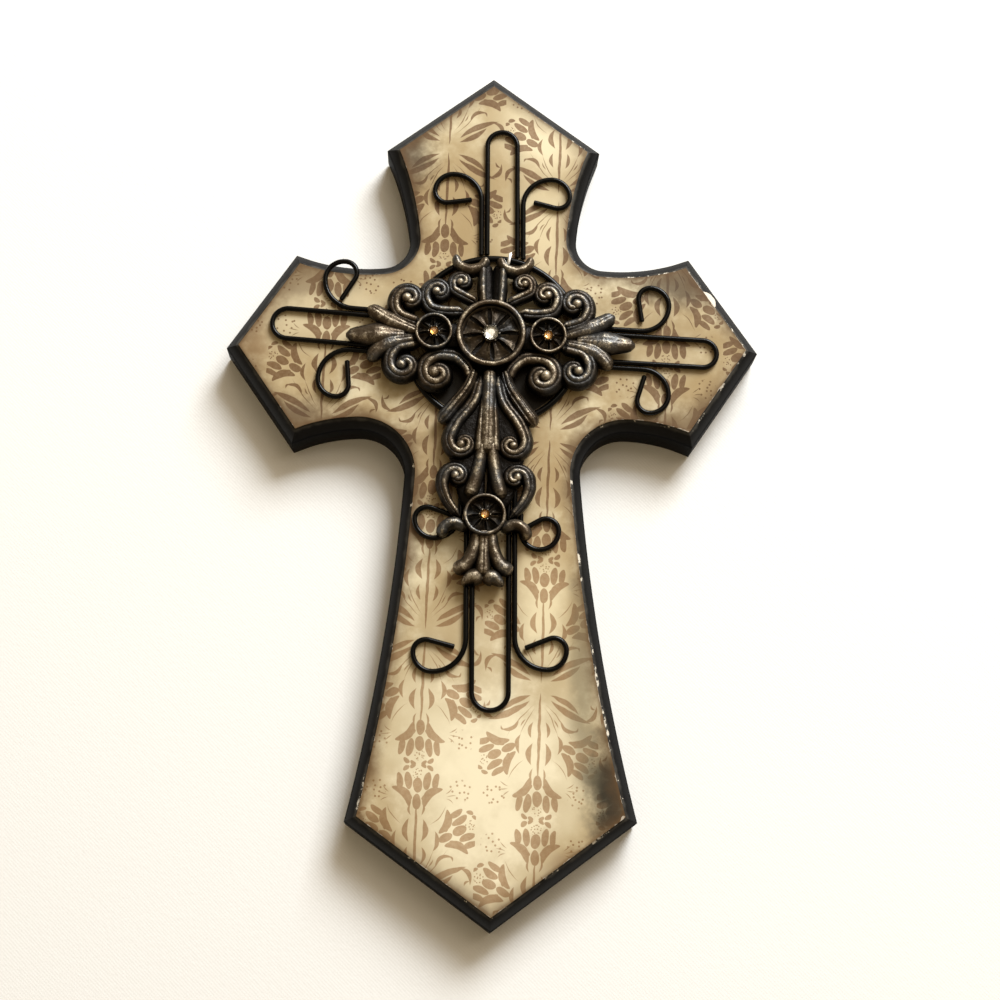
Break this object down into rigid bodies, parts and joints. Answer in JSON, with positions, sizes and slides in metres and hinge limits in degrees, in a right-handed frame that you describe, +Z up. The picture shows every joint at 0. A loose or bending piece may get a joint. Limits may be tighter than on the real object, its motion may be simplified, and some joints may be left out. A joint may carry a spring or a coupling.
{
  "type": "decorative wall cross",
  "caption": "Decorative wall cross: chamfered board with printed paper face, black wire scrolls and a cast antique bronze ornament set with stones.",
  "frame": {"origin": "on the flat back of the board, where the arms cross", "axes": "+Z up along the upright, +X to the viewer's right, -Y out of the front, +Y into the wall"},
  "size_m": [0.1876, 0.0272, 0.305],
  "materials": {
    "painted_board": "black satin paint, worn pale along the print's edge",
    "printed_paper": "varnished cream paper with a brown floral print and darkened edges",
    "wire": "semi-gloss black",
    "casting": "antique bronze over dark recesses, ridges brushed with pale gold",
    "clear_stone": "polished facets",
    "amber_stone": "polished facets",
    "staple": "bright"
  },
  "bodies": {
    "root": {"board": "painted_board", "printed_paper": "printed_paper", "wire_ring": "wire", "hairpin_top": "wire", "hairpin_left": "wire", "hairpin_right": "wire", "hairpin_foot": "wire", "curl_top_a": "wire", "curl_top_b": "wire", "curl_left_a": "wire", "curl_left_b": "wire", "curl_right_a": "wire", "curl_right_b": "wire", "curl_foot_a": "wire", "curl_foot_b": "wire", "curl_mid_a": "wire", "curl_mid_b": "wire", "staple": "staple", "cast_ornament": "casting", "stone_clear": "clear_stone", "stone_amber_left": "amber_stone", "stone_amber_right": "amber_stone", "stone_amber_foot": "amber_stone"}
  },
  "joints": []
}
